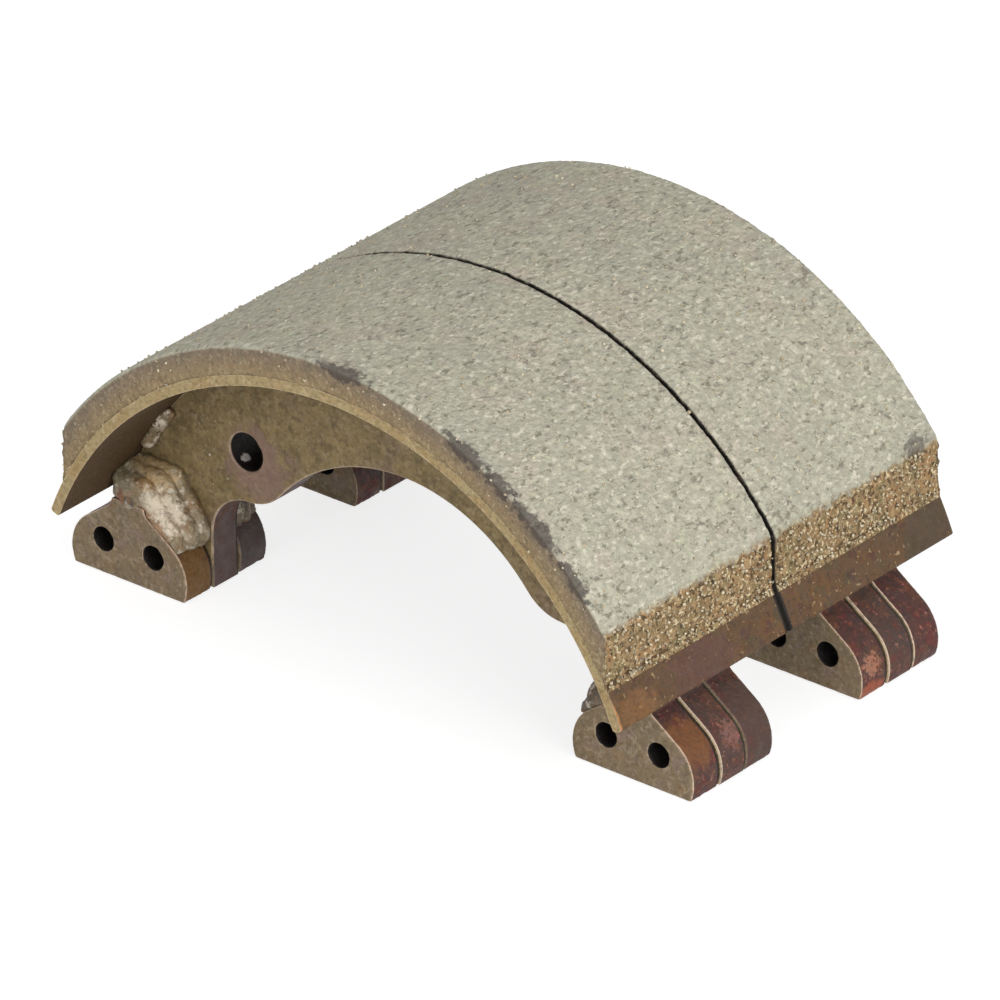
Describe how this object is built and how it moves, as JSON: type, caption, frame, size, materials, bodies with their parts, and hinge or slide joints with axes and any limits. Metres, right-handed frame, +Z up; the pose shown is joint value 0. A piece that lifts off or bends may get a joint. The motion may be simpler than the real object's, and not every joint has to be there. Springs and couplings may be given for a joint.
{
  "type": "brake shoe",
  "caption": "Wide drum brake shoe in two welded T-section halves side by side, with bonded linings on arched tables and drilled flat-bottomed feet.",
  "frame": {"origin": "middle of the shoe's bounding box at the level of its soles: X = 0 at the middle of the arch, Y = 0 at the seam between the two halves, Z = 0 at the soles of the feet", "axes": "+X along the chord from the left end to the right end, +Y along the drum axis from the front half to the rear half, +Z up from the feet to the crown of the lining"},
  "size_m": [0.3908, 0.2534, 0.1835],
  "materials": {
    "friction_lining": "matt, rough, speckled with mineral and metal chips",
    "coated_steel": "thin olive-brown coating, rusted in places, with bare arrises",
    "weld_metal": "as welded, pale and shiny where fresh, brown where rusted"
  },
  "bodies": {
    "root": {"lining_front_half": "friction_lining", "table_front_half": "coated_steel", "web_front_half": "coated_steel", "web_weld_front_half_front_side": "weld_metal", "tip_plate_front_half_left_front_side": "coated_steel", "tip_weld_front_half_left_front_side": "weld_metal", "tip_plate_front_half_right_front_side": "coated_steel", "tip_weld_front_half_right_front_side": "weld_metal", "web_weld_front_half_rear_side": "weld_metal", "tip_plate_front_half_left_rear_side": "coated_steel", "tip_weld_front_half_left_rear_side": "weld_metal", "tip_plate_front_half_right_rear_side": "coated_steel", "tip_weld_front_half_right_rear_side": "weld_metal", "lining_rear_half": "friction_lining", "table_rear_half": "coated_steel", "web_rear_half": "coated_steel", "web_weld_rear_half_front_side": "weld_metal", "tip_plate_rear_half_left_front_side": "coated_steel", "tip_weld_rear_half_left_front_side": "weld_metal", "tip_plate_rear_half_right_front_side": "coated_steel", "tip_weld_rear_half_right_front_side": "weld_metal", "web_weld_rear_half_rear_side": "weld_metal", "tip_plate_rear_half_left_rear_side": "coated_steel", "tip_weld_rear_half_left_rear_side": "weld_metal", "tip_plate_rear_half_right_rear_side": "coated_steel", "tip_weld_rear_half_right_rear_side": "weld_metal"}
  },
  "joints": []
}
